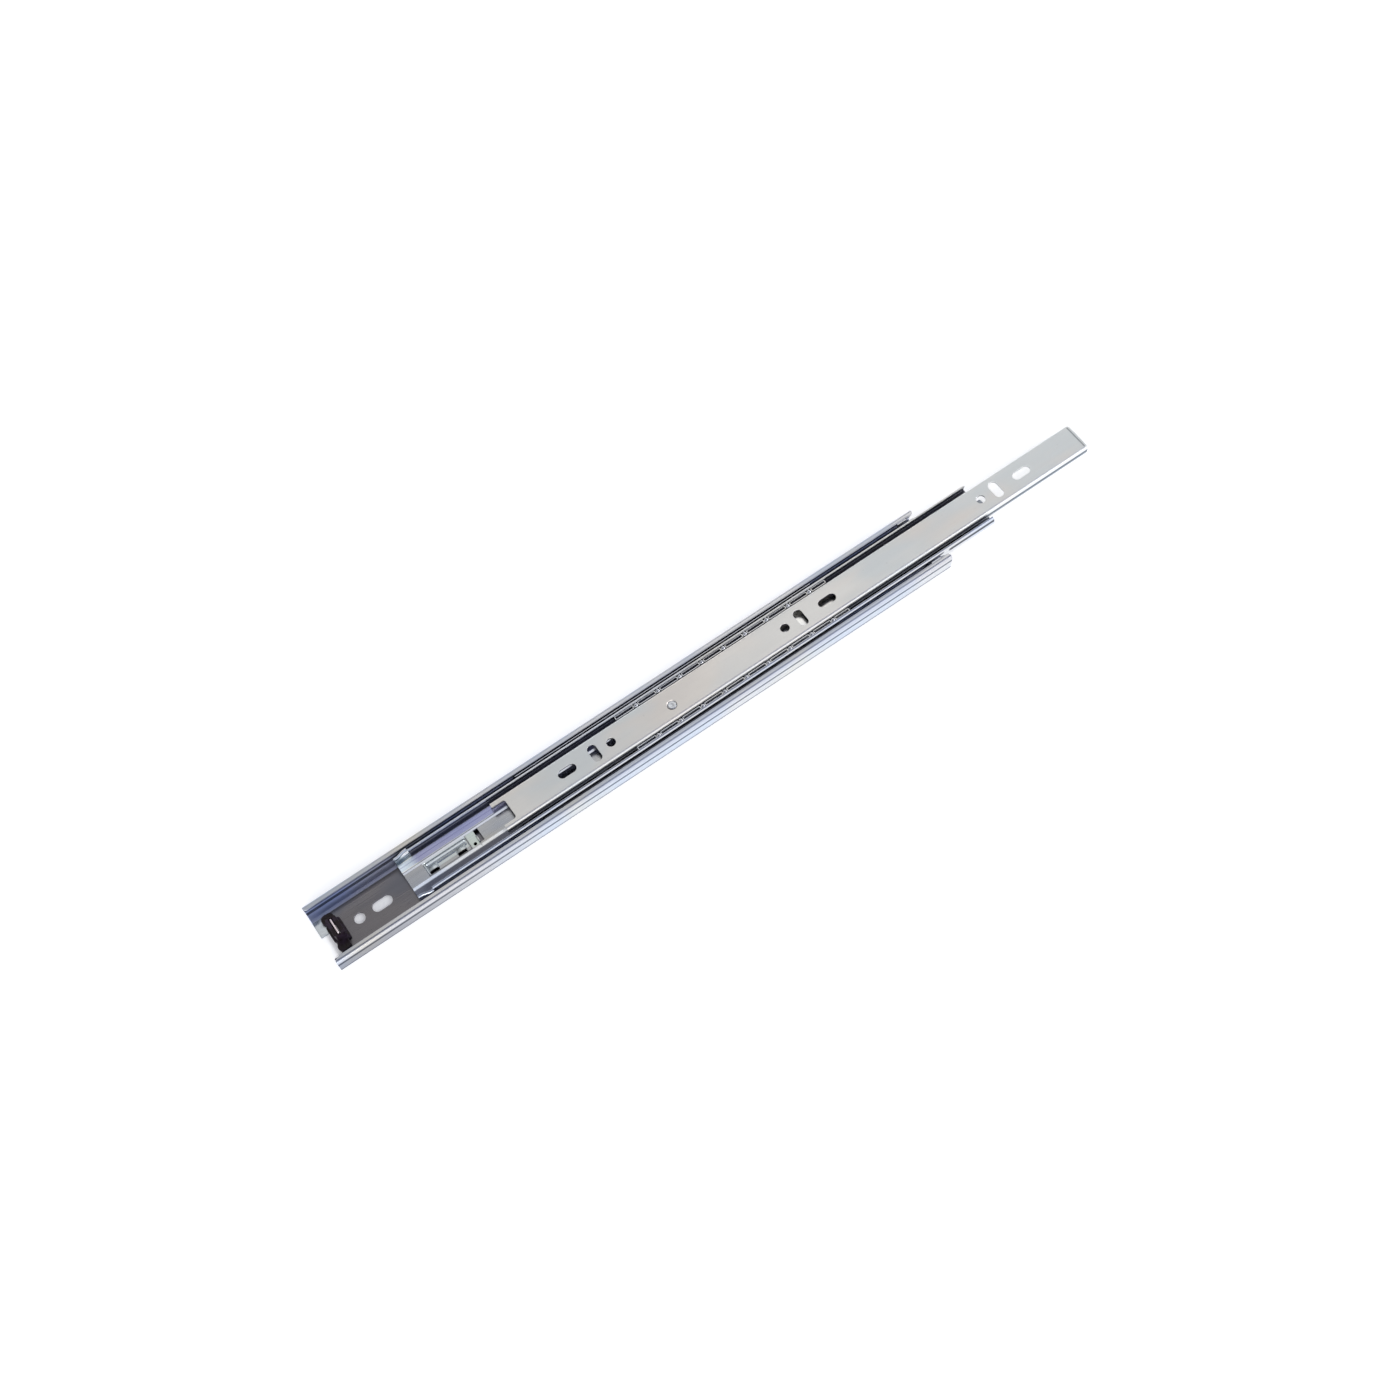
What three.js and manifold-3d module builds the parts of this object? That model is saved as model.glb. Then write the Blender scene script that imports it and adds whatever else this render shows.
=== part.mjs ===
// Ball-bearing drawer slide, 45 mm wide, nominal length 450 mm, partly extended.
// Three rolled-steel members telescope along X on two rows of caged balls each.
// X runs from the rear end to the front end, Y across the slide, Z out of the cabinet side.
// The origin lies on the back face of the outer member, half way along its length.
import * as THREE from 'three';
import { mergeVertices } from 'three/addons/utils/BufferGeometryUtils.js';
import Module from 'manifold-3d';

// ---------------------------------------------------------------- driving dimensions (mm)
const OUTER_LENGTH = 450;         // nominal length of the slide
const HALF_WIDTH = 22.5;          // half of the 45 mm width
const SHEET = 1.2;                // sheet thickness of the three members

const MID_REAR = 60.7, MID_LENGTH = 426.6;         // intermediate member, as extended
const INNER_REAR = 126.7, INNER_LENGTH = 439.9;    // inner member, as extended

const OUTER_LIP_TOP = 12.0;       // upper face of the outer lips
const OUTER_LIP_EDGE = 18.5;      // inner edge of the outer lips, from the centre line
const MID_WEB_TOP = 5.3;          // upper face of the intermediate web
const MID_WALL = 15.75;           // centre of the intermediate side wall
const INNER_FACE = 12.7;          // upper face of the inner member, the overall thickness

const OUTER_BALL = { r: 2.1, y: 18.85, z: 7.2, first: 163, pitch: 17.45, count: 12 };
const INNER_BALL = { r: 1.7, y: 13.0, z: 10.1, first: 234.8, pitch: 16.3, count: 9 };
const CAGE_SHEET = 0.5, CAGE_CLEAR = 0.3;
const OUTER_CAGE = { x0: 149, x1: 369, web: 2.9, top: 9.3 };
const INNER_CAGE = { x0: 219.5, x1: 377.5, web: 7.3, top: 11.4 };

const NOTCH = { depth: 8.9, half: 7.3, r: 1.6 };              // rear notch of the inner member
const SMALL_HOLE = 6.0, SMALL_SLOT = 12.6;                    // fixing holes in the inner member
const LARGE_HOLE = 7.5, LARGE_SLOT = 14.0;                    // fixing holes in the outer member
const RIVET = { x: 252.3, y: -1.6, head: 2.7, shank: 1.5 };
const TAB = { x0: 9.9, x1: 11.0, half: 5.7, top: 11.0 };      // upright tab that holds the bumper

// ---------------------------------------------------------------- materials
const steel = (color, roughness) => new THREE.MeshStandardMaterial({ color, metalness: 0.85, roughness });
const MATERIAL = {
  outer: steel(0xb9bcc4, 0.38),
  mid: steel(0xc3c8cc, 0.34),
  inner: steel(0xd2d2cd, 0.36),
  cage: steel(0xc9cbd0, 0.3),
  ball: steel(0xdadde2, 0.12),
  rivet: steel(0xd8d9da, 0.3),
  bumper: new THREE.MeshStandardMaterial({ color: 0x231c20, metalness: 0, roughness: 0.7 }),
  lever: new THREE.MeshStandardMaterial({ color: 0x1c1d20, metalness: 0, roughness: 0.55 }),
};

// ---------------------------------------------------------------- solids
const wasm = await Module();
wasm.setup();

function solid(geometry) {
  const plain = geometry.clone();
  plain.deleteAttribute('normal');
  plain.deleteAttribute('uv');
  const merged = mergeVertices(plain, 1e-4);
  return new wasm.Manifold(new wasm.Mesh({
    numProp: 3,
    vertProperties: new Float32Array(merged.attributes.position.array),
    triVerts: new Uint32Array(merged.index.array),
  }));
}

function geometryOf(manifold) {
  const mesh = manifold.getMesh();
  const geometry = new THREE.BufferGeometry();
  geometry.setAttribute('position', new THREE.BufferAttribute(new Float32Array(mesh.vertProperties), 3));
  geometry.setIndex(new THREE.BufferAttribute(new Uint32Array(mesh.triVerts), 1));
  geometry.computeVertexNormals();
  return geometry;
}

const X = new THREE.Vector3(1, 0, 0), Y = new THREE.Vector3(0, 1, 0), Z = new THREE.Vector3(0, 0, 1);

function extrude(points, depth) {
  const shape = new THREE.Shape(points.map(([a, b]) => new THREE.Vector2(a, b)));
  return new THREE.ExtrudeGeometry(shape, { depth, steps: 1, bevelEnabled: false });
}

// (y, z) section drawn out along X
function alongX(points, x0, x1) {
  const g = extrude(points, x1 - x0);
  g.applyMatrix4(new THREE.Matrix4().makeBasis(Y, Z, X));
  return solid(g.translate(x0, 0, 0));
}

// (x, z) section drawn out along Y
function alongY(points, y0, y1) {
  const g = extrude(points, y1 - y0);
  g.applyMatrix4(new THREE.Matrix4().makeBasis(X, Z, Y.clone().negate()));
  return solid(g.translate(0, y1, 0));
}

// (x, y) outline drawn out along Z
const alongZ = (points, z0, z1) => solid(extrude(points, z1 - z0).translate(0, 0, z0));

const box = (x0, x1, y0, y1, z0, z1) => alongZ([[x0, y0], [x1, y0], [x1, y1], [x0, y1]], z0, z1);

function arc(cx, cy, r, a0, a1, steps) {
  const out = [];
  for (let i = 0; i <= steps; i++) {
    const a = a0 + (a1 - a0) * i / steps;
    out.push([cx + r * Math.cos(a), cy + r * Math.sin(a)]);
  }
  return out;
}

// slot with round ends, or a round hole when length equals width
function slot(cx, cy, length, width, across = false) {
  const r = width / 2, h = Math.max(length / 2 - r, 0);
  const points = h > 0
    ? [...arc(h, 0, r, -Math.PI / 2, Math.PI / 2, 10), ...arc(-h, 0, r, Math.PI / 2, 3 * Math.PI / 2, 10)]
    : arc(0, 0, r, 0, 2 * Math.PI, 24).slice(0, 24);
  return points.map(([a, b]) => (across ? [cx - b, cy + a] : [cx + a, cy + b]));
}

// polyline whose inner corners [a, b, radius] are rounded
function rounded(path, steps = 5) {
  const out = [[path[0][0], path[0][1]]];
  for (let i = 1; i < path.length - 1; i++) {
    const [x, y, r] = path[i];
    const p = new THREE.Vector2(x, y);
    const u = new THREE.Vector2(path[i - 1][0] - x, path[i - 1][1] - y).normalize();
    const v = new THREE.Vector2(path[i + 1][0] - x, path[i + 1][1] - y).normalize();
    const half = Math.acos(THREE.MathUtils.clamp(u.dot(v), -1, 1)) / 2;
    const reach = r / Math.tan(half);
    const centre = p.clone().addScaledVector(u.clone().add(v).normalize(), r / Math.sin(half));
    const s = p.clone().addScaledVector(u, reach).sub(centre);
    const e = p.clone().addScaledVector(v, reach).sub(centre);
    let sweep = e.angle() - s.angle();
    if (sweep > Math.PI) sweep -= 2 * Math.PI;
    if (sweep < -Math.PI) sweep += 2 * Math.PI;
    for (let k = 0; k <= steps; k++) {
      const a = s.angle() + sweep * k / steps;
      out.push([centre.x + r * Math.cos(a), centre.y + r * Math.sin(a)]);
    }
  }
  const last = path[path.length - 1];
  out.push([last[0], last[1]]);
  return out;
}

// closed outline of a bent sheet: the half path (y >= 0) is mirrored and given its thickness
function sheetOutline(half, thickness) {
  const right = rounded(half);
  const line = [...right.slice(1).reverse().map(([a, b]) => [-a, b]), ...right];
  const side = (offset) => line.map((p, i) => {
    const before = line[Math.max(i - 1, 0)], after = line[Math.min(i + 1, line.length - 1)];
    const d1 = new THREE.Vector2(p[0] - before[0], p[1] - before[1]);
    const d2 = new THREE.Vector2(after[0] - p[0], after[1] - p[1]);
    if (i === 0) d1.copy(d2);
    if (i === line.length - 1) d2.copy(d1);
    const n = d1.normalize().clone().add(d2.normalize()).normalize();
    const stretch = offset / Math.max(n.dot(d1), 0.5);
    return [p[0] - n.y * stretch, p[1] + n.x * stretch];
  });
  return [...side(-thickness / 2), ...side(thickness / 2).reverse()];
}

const parts = [];
function part(name, shape, material) {
  const mesh = new THREE.Mesh(shape instanceof THREE.BufferGeometry ? shape : geometryOf(shape), material);
  mesh.name = name;
  parts.push(mesh);
  return mesh;
}

// ---------------------------------------------------------------- outer member
const lipZ = OUTER_LIP_TOP - SHEET / 2, wallY = HALF_WIDTH - SHEET / 2;
const outerSection = sheetOutline([
  [0, 0.6], [14.2, 0.6, 1.2], [16.4, 1.3, 1.2], [wallY, 1.3, 1.5], [wallY, lipZ, 1.5], [OUTER_LIP_EDGE, lipZ],
], SHEET);
let outer = alongX(outerSection, 0, OUTER_LENGTH);

// rounded lip corners at the rear, small ones at the front
for (const side of [1, -1]) {
  const corner = (x, r, dir) => {
    const c = arc(x + dir * r, OUTER_LIP_EDGE + r, r, -Math.PI / 2, dir > 0 ? -Math.PI : 0, 6);
    return [[x - dir, OUTER_LIP_EDGE - 1], [x + dir * r, OUTER_LIP_EDGE - 1], ...c, [x - dir, OUTER_LIP_EDGE + r]]
      .map(([a, b]) => [a, side * b]);
  };
  for (const [x, r, dir] of [[0, 3.2, 1], [OUTER_LENGTH, 2.2, -1]]) {
    let points = corner(x, r, dir);
    if (THREE.ShapeUtils.area(points.map(([a, b]) => new THREE.Vector2(a, b))) < 0) points = points.reverse();
    outer = outer.subtract(alongZ(points, OUTER_LIP_TOP - 2.2, OUTER_LIP_TOP + 1));
  }
}
// the front end leans back towards the web
outer = outer.subtract(alongY([
  [OUTER_LENGTH - 2.4, -1], [OUTER_LENGTH + 1, -1], [OUTER_LENGTH + 1, 10], [OUTER_LENGTH, 10],
], -30, 30));
// fixing holes: a round hole and a slot near each end, and a slot in the middle
for (const [x, length] of [
  [25.4, LARGE_HOLE], [41.3, LARGE_SLOT], [186, LARGE_SLOT], [393, LARGE_SLOT], [413, LARGE_HOLE],
]) outer = outer.subtract(alongZ(slot(x, 0, length, LARGE_HOLE), -1, 3));
// the rear edge of the web is cut back on one side
outer = outer.subtract(alongZ([
  [-1, -13.6], [4.6, -13.6], ...arc(4.6, -12.2, 1.4, -Math.PI / 2, 0, 4), ...arc(4.6, 1.4, 1.4, 0, Math.PI / 2, 4), [-1, 2.8],
], -1, 3));
// upright tab for the bumper, with the opening it was bent out of
outer = outer.subtract(box(TAB.x1, 16.6, -TAB.half, TAB.half, -1, 3));
outer = outer.add(alongX([
  [-TAB.half, 0.2], [TAB.half, 0.2], [TAB.half, TAB.top - 1.2], [TAB.half - 1.2, TAB.top],
  [1.2 - TAB.half, TAB.top], [-TAB.half, TAB.top - 1.2],
], TAB.x0, TAB.x1));
// stop tabs for the ball retainer, bent down from the lips near the front
for (const side of [1, -1]) {
  const a = side > 0 ? 17.7 : -18.9;
  outer = outer.add(box(437.4, 444, a, a + 1.2, 8.2, lipZ));
}
part('outer_member', outer, MATERIAL.outer);

// ---------------------------------------------------------------- intermediate member
const midSection = sheetOutline([
  [0, MID_WEB_TOP - SHEET / 2], [5.4, MID_WEB_TOP - SHEET / 2, 1.6], [12.5, 6.1, 2.4],
  [MID_WALL, 6.6, 1.3], [MID_WALL, 10.9, 0.9], [14.7, 11.65],
], SHEET * 0.92);
let mid = alongX(midSection, MID_REAR, MID_REAR + MID_LENGTH);
// pressed panel near the rear end with a bead along it
mid = mid.subtract(box(74.4, 103.4, -4.3, 5.0, MID_WEB_TOP - 0.35, MID_WEB_TOP + 1));
mid = mid.add(alongX(arc(3.3, MID_WEB_TOP - 0.6, 0.95, 0, Math.PI, 8), 75.2, 102.6));
// two lanced louvres, open towards -Y
for (const x of [74.9, 94.6]) {
  mid = mid.subtract(box(x, x + 6.2, -4.0, -1.8, 0, MID_WEB_TOP + 1));
  mid = mid.add(alongX([
    [1.3, MID_WEB_TOP - 0.9], [1.3, MID_WEB_TOP - 0.3], [-0.8, MID_WEB_TOP + 1.1], [-2.1, MID_WEB_TOP + 1.4],
    [-2.1, MID_WEB_TOP + 0.7], [-0.8, MID_WEB_TOP + 0.3], [-0.2, MID_WEB_TOP - 0.9],
  ].reverse(), x, x + 6.2));
}
mid = mid.subtract(alongZ(slot(106.7, -3.2, 2, 2), 0, 8));
// cross slot with the small upright stop tab bent out of it
mid = mid.subtract(box(109.8, 112.8, -4.0, 5.2, 0, 8));
mid = mid.add(box(109.2, 110.2, -3.8, 0.6, MID_WEB_TOP - 1, MID_WEB_TOP + 1.7));
part('intermediate_member', mid, MATERIAL.mid);

// ---------------------------------------------------------------- inner member
const faceZ = INNER_FACE - SHEET / 2, innerFront = INNER_REAR + INNER_LENGTH;
const innerSection = sheetOutline([
  [0, faceZ], [10.55, faceZ, 0.9], [10.3, 9.7, 2.0], [11.35, 8.4],
], SHEET * 0.95);
let inner = alongX(innerSection, INNER_REAR, innerFront - 0.8);
// end flange folded down at the front, with clipped corners
inner = inner.add(alongX([
  [-9.2, 9.3], [-8.2, 8.4], [8.2, 8.4], [9.2, 9.3], [9.2, 11.6], [-9.2, 11.6],
], innerFront - SHEET, innerFront));
const fold = [[innerFront - 3, INNER_FACE - SHEET], [innerFront - SHEET, 11], [innerFront, 11],
  ...arc(innerFront - 1.5, INNER_FACE - 1.5, 1.5, 0, Math.PI / 2, 6), [innerFront - 3, INNER_FACE]];
inner = inner.add(alongY(fold, -9.2, 9.2));
// the side flanges are clipped at the front, below the face
inner = inner.subtract(alongY([
  [innerFront - 4.6, 7], [innerFront + 1, 7], [innerFront + 1, 10.4], [innerFront - 0.8, 10.4],
], -14, 14).subtract(box(innerFront - 10, innerFront + 1, -9.5, 9.5, 0, 20)));
// relief between the end flange and the side flanges
for (const side of [1, -1]) {
  inner = inner.subtract(alongZ(slot(innerFront - 0.2, side * 9.9, 3.2, 1.2), 0, 20));
}
// rear notch that closes round the bumper
const n = NOTCH, nx = INNER_REAR + n.depth;
inner = inner.subtract(alongZ([
  [INNER_REAR - 1, -n.half], ...arc(nx - n.r, -n.half + n.r, n.r, -Math.PI / 2, 0, 5),
  ...arc(nx - n.r, n.half - n.r, n.r, 0, Math.PI / 2, 5), [INNER_REAR - 1, n.half],
], 0, 20));
// three groups of fixing holes, 32 mm from round hole to slot
for (const [round, dir] of [[208.5, -1], [337.9, 1], [489.0, 1]]) {
  inner = inner.subtract(alongZ(slot(round, 0, SMALL_HOLE, SMALL_HOLE), 8, 20));
  inner = inner.subtract(alongZ(slot(round + dir * 12, 0, SMALL_SLOT, SMALL_HOLE, true), 8, 20));
  inner = inner.subtract(alongZ(slot(round + dir * 32, 0, SMALL_SLOT, SMALL_HOLE), 8, 20));
}
// seat of the lever rivet
inner = inner.subtract(alongZ(slot(RIVET.x, RIVET.y, 3.6, 3.6), 8, 20));
inner = inner.subtract(alongZ(slot(RIVET.x, RIVET.y, 6.0, 6.0), INNER_FACE - 0.55, 20));
part('inner_member', inner, MATERIAL.inner);

// ---------------------------------------------------------------- ball retainers
function retainer(cage, ball) {
  const half = ball.y;
  const section = sheetOutline([[0, cage.web], [half, cage.web, 0.7], [half, cage.top]], CAGE_SHEET);
  let body = alongX(section, cage.x0, cage.x1);
  for (let i = 0; i < ball.count; i++) {
    const hole = arc(ball.first + i * ball.pitch, ball.z, ball.r + CAGE_CLEAR, 0, 2 * Math.PI, 20).slice(0, 20);
    body = body.subtract(alongY(hole, half - 1, half + 1)).subtract(alongY(hole, -half - 1, -half + 1));
  }
  return body;
}
part('outer_ball_retainer', retainer(OUTER_CAGE, OUTER_BALL), MATERIAL.cage);
part('inner_ball_retainer', retainer(INNER_CAGE, INNER_BALL), MATERIAL.cage);

// ---------------------------------------------------------------- balls, one row on each side
for (const [row, ball] of [['outer', OUTER_BALL], ['inner', INNER_BALL]]) {
  for (const [letter, side] of [['a', 1], ['b', -1]]) {
    for (let i = 0; i < ball.count; i++) {
      const sphere = new THREE.IcosahedronGeometry(ball.r, 2);
      const name = `${row}_ball_${letter}${String(i + 1).padStart(2, '0')}`;
      part(name, solid(sphere), MATERIAL.ball).position.set(ball.first + i * ball.pitch, side * ball.y, ball.z);
    }
  }
}

// ---------------------------------------------------------------- rear bumper
const round = (cx, cy, r) => alongZ(slot(cx, cy, 2 * r, 2 * r), 1.5, 3.4);
let bumper = alongZ([
  ...arc(14.0, 6.6, 1.8, 0, Math.PI / 2, 5), ...arc(7.2, 4.6, 1.8, Math.PI / 2, Math.PI, 5),
  ...arc(7.2, -4.6, 1.8, Math.PI, 3 * Math.PI / 2, 5), ...arc(14.0, -6.6, 1.8, -Math.PI / 2, 0, 5),
], 1.5, 3.4);
// a neck and a round lobe on each side
for (const side of [1, -1]) {
  bumper = bumper.add(box(6.4, 13.4, Math.min(side * 5, side * 11), Math.max(side * 5, side * 11), 1.5, 3.4));
  bumper = bumper.add(round(8.6, side * 10.3, 3.5)).add(round(10.4, side * 10.6, 3.0));
}
const boss = [...arc(12.8, 5.3, 1.4, 0, Math.PI / 2, 5), ...arc(8.6, 5.3, 1.4, Math.PI / 2, Math.PI, 5),
  ...arc(8.6, -5.3, 1.4, Math.PI, 3 * Math.PI / 2, 5), ...arc(12.8, -5.3, 1.4, -Math.PI / 2, 0, 5)];
bumper = bumper.add(alongZ(boss, 1.5, 10.8));
bumper = bumper.subtract(box(8.7, 12.4, -6.1, 6.1, 0.5, 20));
part('rear_bumper', bumper, MATERIAL.bumper);

// ---------------------------------------------------------------- release lever and its rivet
const leverOutline = [
  ...arc(RIVET.x, RIVET.y, 4.2, Math.PI * 0.62, Math.PI * 1.38, 8), [262, -4.9], [284, -5.4], [292, -7.0],
  ...arc(298.5, -5.2, 2.0, -Math.PI / 2, Math.PI / 2, 6), [290, -2.4], [282, -0.4], [262, 1.7],
];
let lever = alongZ(leverOutline, 9.3, 11.1);
lever = lever.subtract(alongZ(slot(RIVET.x, RIVET.y, 3.6, 3.6), 0, 20));
part('release_lever', lever, MATERIAL.lever);

const profile = [[0, 8.4], [2.5, 8.4], [2.5, 9.0], [RIVET.shank, 9.0], [RIVET.shank, INNER_FACE - 0.25],
  [RIVET.head, INNER_FACE - 0.25], [RIVET.head - 0.2, INNER_FACE - 0.02], [0, INNER_FACE]]
  .map(([r, z]) => new THREE.Vector2(r, z));
const rivet = new THREE.LatheGeometry(profile, 20);
rivet.rotateX(Math.PI / 2);
rivet.translate(RIVET.x, RIVET.y, 0);
part('lever_rivet', solid(rivet), MATERIAL.rivet);

// ---------------------------------------------------------------- assembly
const slide = new THREE.Group();
slide.name = 'drawer_slide';
for (const mesh of parts) slide.add(mesh);
slide.position.x = -OUTER_LENGTH / 2;
slide.updateMatrixWorld(true);
export default slide;
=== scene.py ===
"""Ball-bearing drawer slide, partly extended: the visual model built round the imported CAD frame.

The geometry code works in millimetres: x = 0 at the outer member's rear end, y = 0 on its centre line and
z = 0 on its back face. keep() turns that into the row frame, in metres.
"""

import math

import bmesh
import bpy
from mathutils import Matrix, Vector


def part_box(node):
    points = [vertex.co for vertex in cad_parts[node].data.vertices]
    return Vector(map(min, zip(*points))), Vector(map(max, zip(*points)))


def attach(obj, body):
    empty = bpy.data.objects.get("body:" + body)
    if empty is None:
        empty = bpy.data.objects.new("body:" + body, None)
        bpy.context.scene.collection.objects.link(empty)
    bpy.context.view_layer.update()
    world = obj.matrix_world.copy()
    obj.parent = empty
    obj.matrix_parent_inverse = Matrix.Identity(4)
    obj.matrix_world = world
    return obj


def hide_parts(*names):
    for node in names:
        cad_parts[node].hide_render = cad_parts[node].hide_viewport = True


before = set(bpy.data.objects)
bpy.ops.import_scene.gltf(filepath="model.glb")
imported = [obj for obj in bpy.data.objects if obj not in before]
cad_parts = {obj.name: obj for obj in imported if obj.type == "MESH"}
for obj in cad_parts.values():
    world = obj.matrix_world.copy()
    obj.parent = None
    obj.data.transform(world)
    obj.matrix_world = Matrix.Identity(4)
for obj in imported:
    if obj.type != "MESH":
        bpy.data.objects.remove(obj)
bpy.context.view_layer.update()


def ends(node):
    """Where a CAD node starts and ends along X, in mm from the outer member's rear end."""
    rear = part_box("outer_member")[0][0]
    return [round((corner[0] - rear) * 1000, 1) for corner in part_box(node)]


# ------------------------------------------------------------------ dimensions (mm)
OUTER_LENGTH = ends("outer_member")[1]
OUTER_WALL_Y, OUTER_LIP_Z, OUTER_LIP_EDGE = 21.9, 11.4, 18.5      # middle of the sheet
MID_REAR, MID_FRONT = ends("intermediate_member")
INNER_REAR, INNER_FRONT = ends("inner_member")
MID_TOP, INNER_TOP = 5.3, 12.7    # upper faces of their webs
OUTER_SHEET, MID_SHEET, INNER_SHEET, CAGE_SHEET = 1.2, 1.104, 1.14, 0.5
OUTER_BALL = {"r": 2.1, "y": 18.85, "z": 7.2, "first": 163.0, "pitch": 17.45, "count": 12}
INNER_BALL = {"r": 1.68, "y": 12.95, "z": 10.05, "first": 234.8, "pitch": 16.3, "count": 9}
OUTER_CAGE = {"x0": 149.0, "x1": 369.0, "web": 2.9, "top": 11.1}
INNER_CAGE = {"x0": 219.5, "x1": 377.5, "web": 7.3, "top": 9.7}
RIVET_X, RIVET_Y = 252.3, -1.6
EDGE = 0.12                       # chamfer of a sheared sheet end
RIM = 0.1                         # chamfer round a punched hole
PAST = 1.5                        # how far a hole's cutter stands past the sheet


# ------------------------------------------------------------------ outlines
def arc(cx, cy, r, a0, a1, steps):
    angles = [math.radians(a0 + (a1 - a0) * i / steps) for i in range(steps + 1)]
    return [(cx + r * math.cos(a), cy + r * math.sin(a)) for a in angles]


def circle(cx, cy, r, steps):
    return arc(cx, cy, r, 0, 360, steps)[:-1]


def slot(cx, cy, length, width, across=False, grow=0.0, steps=20):
    """Slot with round ends, or a circle when length equals width, grown outwards by grow."""
    r, h = width / 2 + grow, max((length - width) / 2, 0.0)
    ring = arc(h, 0, r, -90, 90, steps) + arc(-h, 0, r, 90, 270, steps)
    if h == 0:
        ring = circle(0, 0, r, 2 * steps)
    return [(cx - b, cy + a) if across else (cx + a, cy + b) for a, b in ring]


def round_quad(centres, r, steps=6):
    """Outline with round corners of radius r about four centres, anticlockwise from the +X +Y one."""
    ring = []
    for (cx, cy), start in zip(centres, (0, 90, 180, 270)):
        ring += arc(cx, cy, r, start, start + 90, steps)
    return ring


def round_end(x0, x1, y0, y1, r, steps):
    """Oblong from x0 to x1 whose two corners at x1 are round."""
    return [(x0, y0), *arc(x1 - r, y0 + r, r, -90, 0, steps), *arc(x1 - r, y1 - r, r, 0, 90, steps), (x0, y1)]


def round_top(y0, y1, z0, z1, r, steps):
    """Upright oblong (y, z) whose two upper corners are round."""
    return [(y0, z0), (y1, z0),
            *arc(y1 - r, z1 - r, r, 0, 90, steps), *arc(y0 + r, z1 - r, r, 90, 180, steps)]


def rounded(path, steps=7, lead=0.07):
    """Polyline whose inner corners (a, b, radius) become arcs, with a support point on each side."""
    out = [Vector(path[0][:2])]
    for before, (x, y, r), after in zip(path, path[1:-1], path[2:]):
        p = Vector((x, y))
        u = (Vector(before[:2]) - p).normalized()
        v = (Vector(after[:2]) - p).normalized()
        half = math.acos(max(-1.0, min(1.0, u.dot(v)))) / 2
        reach = r / math.tan(half)
        centre = p + (u + v).normalized() * (r / math.sin(half))
        start, end = p + u * reach - centre, p + v * reach - centre
        a0 = math.atan2(start.y, start.x)
        sweep = (math.atan2(end.y, end.x) - a0 + math.pi) % (2 * math.pi) - math.pi
        angles = [a0 + sweep * k / steps for k in range(steps + 1)]
        out.append(p + u * (reach + lead))
        out += [centre + r * Vector((math.cos(a), math.sin(a))) for a in angles]
        out.append(p + v * (reach + lead))
    out.append(Vector(path[-1][:2]))
    return out


def sheet(halves, thickness, tip=0.25):
    """The two faces of a bent sheet's section, from its middle line on the +Y side and on the -Y side.

    Its free edges are rounded, with a radius of tip.
    """
    right, left = (rounded(half) for half in halves)
    for side in (right, left):
        side[-1] += (side[-2] - side[-1]).normalized() * tip
    line = [Vector((-p.x, p.y)) for p in reversed(left[1:])] + right
    h = thickness / 2
    tip = min(tip, h * 0.95)
    sides = [[], []]
    for i, p in enumerate(line):
        d1 = (p - line[i - 1]).normalized() if i else (line[1] - p).normalized()
        d2 = (line[i + 1] - p).normalized() if i < len(line) - 1 else d1
        d = (d1 + d2).normalized()
        n = Vector((-d.y, d.x))
        stretch = h / max(n.dot(Vector((-d1.y, d1.x))), 0.5)
        for side, sign in zip(sides, (-1, 1)):
            side.append(p + n * stretch * sign)
    angles = [math.radians(a) for a in (30, 60, 90)]
    for end, step in ((0, 1), (len(line) - 1, -1)):
        p = line[end]
        d = (p - line[end + step]).normalized()
        n = Vector((-d.y, d.x)) * (1 if end else -1)
        for side, sign in zip(sides, (-1, 1)):
            tips = [p + d * tip * math.sin(a) + n * sign * (h - tip + tip * math.cos(a)) for a in angles]
            side[:] = side + tips if end else tips[::-1] + side
    return sides


def spread(a, b, step):
    n = max(1, round((b - a) / step))
    return [a + (b - a) * i / n for i in range(n + 1)]


def smooth_step(t):
    t = max(0.0, min(1.0, t))
    return t * t * (3 - 2 * t)


# ------------------------------------------------------------------ meshes
def thing(name, verts, faces):
    """A working object in millimetres, with its faces turned outwards."""
    mesh = bpy.data.meshes.new(name)
    mesh.from_pydata([tuple(v) for v in verts], [], faces)
    bm = bmesh.new()
    bm.from_mesh(mesh)
    bmesh.ops.recalc_face_normals(bm, faces=bm.faces)
    bm.to_mesh(mesh)
    bm.free()
    obj = bpy.data.objects.new(name, mesh)
    bpy.context.scene.collection.objects.link(obj)
    return obj


def bake(obj):
    """Applies the object's modifiers."""
    bpy.context.view_layer.update()
    result = bpy.data.meshes.new_from_object(obj.evaluated_get(bpy.context.evaluated_depsgraph_get()))
    obj.modifiers.clear()
    old, obj.data = obj.data, result
    bpy.data.meshes.remove(old)
    return obj


def drop(obj):
    mesh = obj.data
    bpy.data.objects.remove(obj)
    if mesh.users == 0:
        bpy.data.meshes.remove(mesh)


def joined(objs):
    """One object that holds the meshes of them all."""
    bm = bmesh.new()
    for o in objs:
        bm.from_mesh(o.data)
    mesh = bpy.data.meshes.new(objs[0].name)
    bm.to_mesh(mesh)
    bm.free()
    for o in objs[1:]:
        drop(o)
    old, objs[0].data = objs[0].data, mesh
    bpy.data.meshes.remove(old)
    return objs[0]


def carve(target, tools, operation="DIFFERENCE"):
    """Cuts the tools out of the target, or adds them to it, and drops them."""
    tool = joined(tools)
    m = target.modifiers.new("carve", "BOOLEAN")
    m.operation, m.object, m.solver = operation, tool, "EXACT"
    bake(target)
    drop(tool)


def weld(target, parts):
    carve(target, parts, "UNION")


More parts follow.
